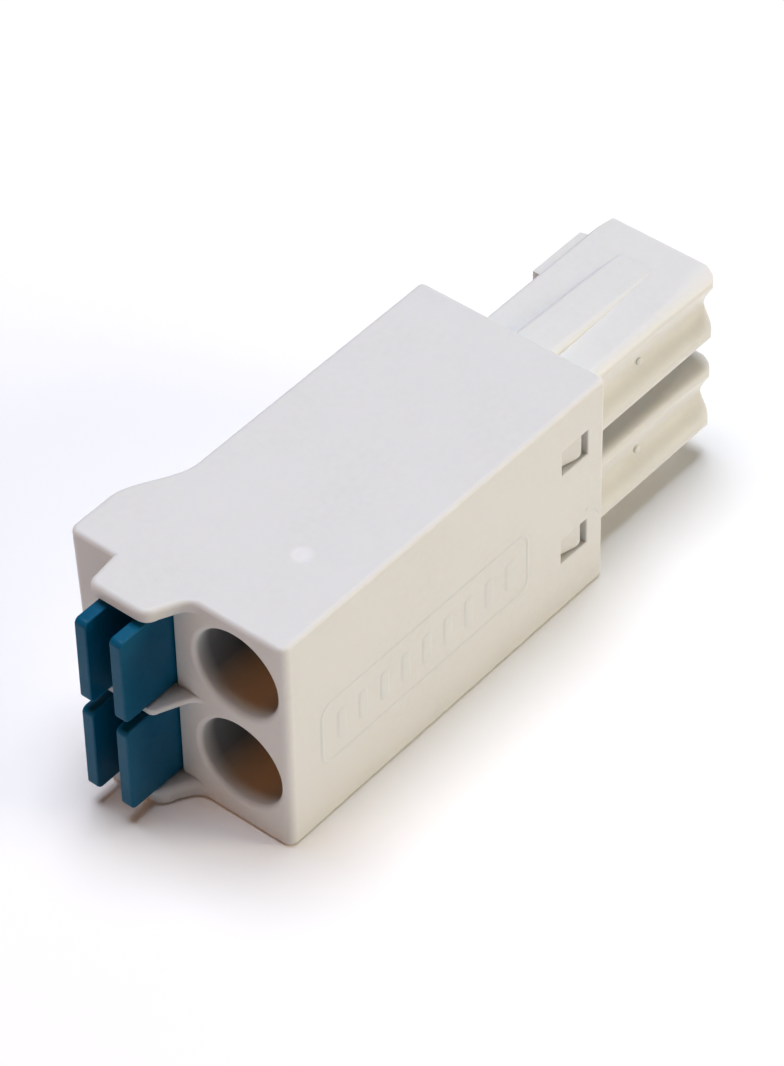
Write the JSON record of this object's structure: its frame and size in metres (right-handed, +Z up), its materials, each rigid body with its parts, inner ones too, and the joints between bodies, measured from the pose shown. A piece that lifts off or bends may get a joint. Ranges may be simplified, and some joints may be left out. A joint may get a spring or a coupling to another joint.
{
  "type": "pluggable push-in wire connector",
  "caption": "Pluggable push-in wire connector: off-white housing with round wire entries, blue release sliders and a snap-in plug carrier with sprung socket contacts.",
  "frame": {"origin": "bottom centre of the whole connector's box, sliders at rest", "axes": "+X from the wire entries to the plug tips, +Y towards the swollen side wall, +Z up through the stacked poles"},
  "size_m": [0.0322, 0.0112, 0.0111],
  "materials": {
    "housing_plastic": "satin moulded",
    "carrier_plastic": "satin moulded",
    "slider_plastic": "satin moulded",
    "spring_steel": "rolled strip",
    "copper_alloy": "stamped",
    "tinned_contact": "matt tin plate"
  },
  "bodies": {
    "housing": {"housing_shell": "housing_plastic", "plug_carrier": "carrier_plastic", "clamp_spring_upper": "spring_steel", "clamp_spring_lower": "spring_steel", "current_bar_upper": "copper_alloy", "current_bar_lower": "copper_alloy", "socket_contact_upper": "tinned_contact", "socket_contact_lower": "tinned_contact"},
    "slider_upper": {"release_slider_upper": "slider_plastic"},
    "slider_lower": {"release_slider_lower": "slider_plastic"},
    "leaf_upper": {"clamp_leaf_upper": "spring_steel"},
    "leaf_lower": {"clamp_leaf_lower": "spring_steel"}
  },
  "joints": [
    {"name": "push_upper", "type": "slide", "parent": "housing", "child": "slider_upper", "axis": [1, 0, 0], "range_m": [0, 0.0012], "stiffness_N_per_m": 2500},
    {"name": "push_lower", "type": "slide", "parent": "housing", "child": "slider_lower", "axis": [1, 0, 0], "range_m": [0, 0.0012], "stiffness_N_per_m": 2500},
    {"name": "flex_upper", "type": "hinge", "parent": "housing", "child": "leaf_upper", "pos_m": [-0.00751, 0.00156, 0.00831], "axis": [0, 0, 1], "range_deg": [0, 20]},
    {"name": "flex_lower", "type": "hinge", "parent": "housing", "child": "leaf_lower", "pos_m": [-0.00751, 0.00156, 0.00331], "axis": [0, 0, 1], "range_deg": [0, 20]}
  ],
  "couplings": [
    {"joint": "flex_upper", "follows": "push_upper", "rad_per_m": 283},
    {"joint": "flex_lower", "follows": "push_lower", "rad_per_m": 283}
  ]
}
